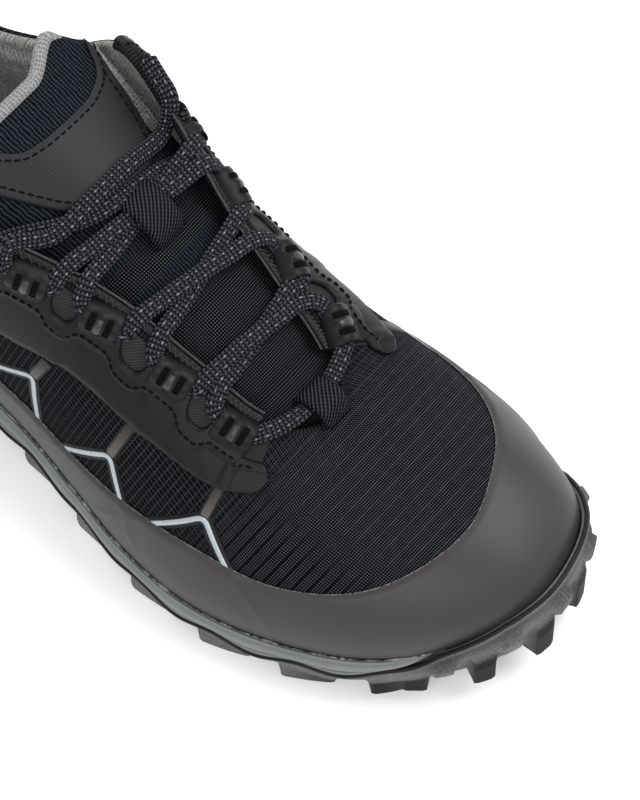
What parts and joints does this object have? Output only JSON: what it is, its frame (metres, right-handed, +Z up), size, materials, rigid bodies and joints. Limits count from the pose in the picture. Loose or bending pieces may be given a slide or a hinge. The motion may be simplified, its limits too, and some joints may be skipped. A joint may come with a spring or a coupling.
{
  "type": "hiking shoe",
  "caption": "Low-cut lace-up hiking shoe for the right foot, with ripstop mesh upper, wrap-round rand, webbing lace loops and lugged rubber sole.",
  "frame": {"origin": "on the floor under the middle of the sole", "axes": "+X from heel to toe, -Y towards the outer (lateral) side of the right foot, +Z up"},
  "size_m": [0.2984, 0.1068, 0.118],
  "materials": {
    "outsole": "matt moulded rubber",
    "midsole": "matt moulded foam",
    "insole": "fabric over foam",
    "upper": "ripstop mesh with foam and lining",
    "rand": "matt welded film",
    "eyestay_lateral": "smooth film",
    "eyestay_medial": "smooth film",
    "tongue": "padded mesh",
    "tongue_panel": "smooth film",
    "tongue_loop": "webbing",
    "vamp_loop": "webbing",
    "lace_loop_lateral_1": "webbing",
    "lace_loop_lateral_2": "webbing",
    "lace_loop_lateral_3": "webbing",
    "lace_loop_lateral_4": "webbing",
    "lace_loop_lateral_5": "webbing",
    "lace_loop_medial_1": "webbing",
    "lace_loop_medial_2": "webbing",
    "lace_loop_medial_3": "webbing",
    "lace_loop_medial_4": "webbing",
    "lace_loop_medial_5": "webbing",
    "lace_bar": "woven lace",
    "lace_cross_1": "woven lace",
    "lace_cross_2": "woven lace",
    "lace_cross_3": "woven lace",
    "lace_cross_4": "woven lace"
  },
  "bodies": {
    "root": {"outsole": "outsole", "midsole": "midsole", "insole": "insole", "upper": "upper", "rand": "rand", "eyestay_lateral": "eyestay_lateral", "eyestay_medial": "eyestay_medial", "tongue": "tongue", "tongue_panel": "tongue_panel", "tongue_loop": "tongue_loop", "vamp_loop": "vamp_loop", "lace_loop_lateral_1": "lace_loop_lateral_1", "lace_loop_lateral_2": "lace_loop_lateral_2", "lace_loop_lateral_3": "lace_loop_lateral_3", "lace_loop_lateral_4": "lace_loop_lateral_4", "lace_loop_lateral_5": "lace_loop_lateral_5", "lace_loop_medial_1": "lace_loop_medial_1", "lace_loop_medial_2": "lace_loop_medial_2", "lace_loop_medial_3": "lace_loop_medial_3", "lace_loop_medial_4": "lace_loop_medial_4", "lace_loop_medial_5": "lace_loop_medial_5", "lace_bar": "lace_bar", "lace_cross_1": "lace_cross_1", "lace_cross_2": "lace_cross_2", "lace_cross_3": "lace_cross_3", "lace_cross_4": "lace_cross_4"}
  },
  "joints": []
}
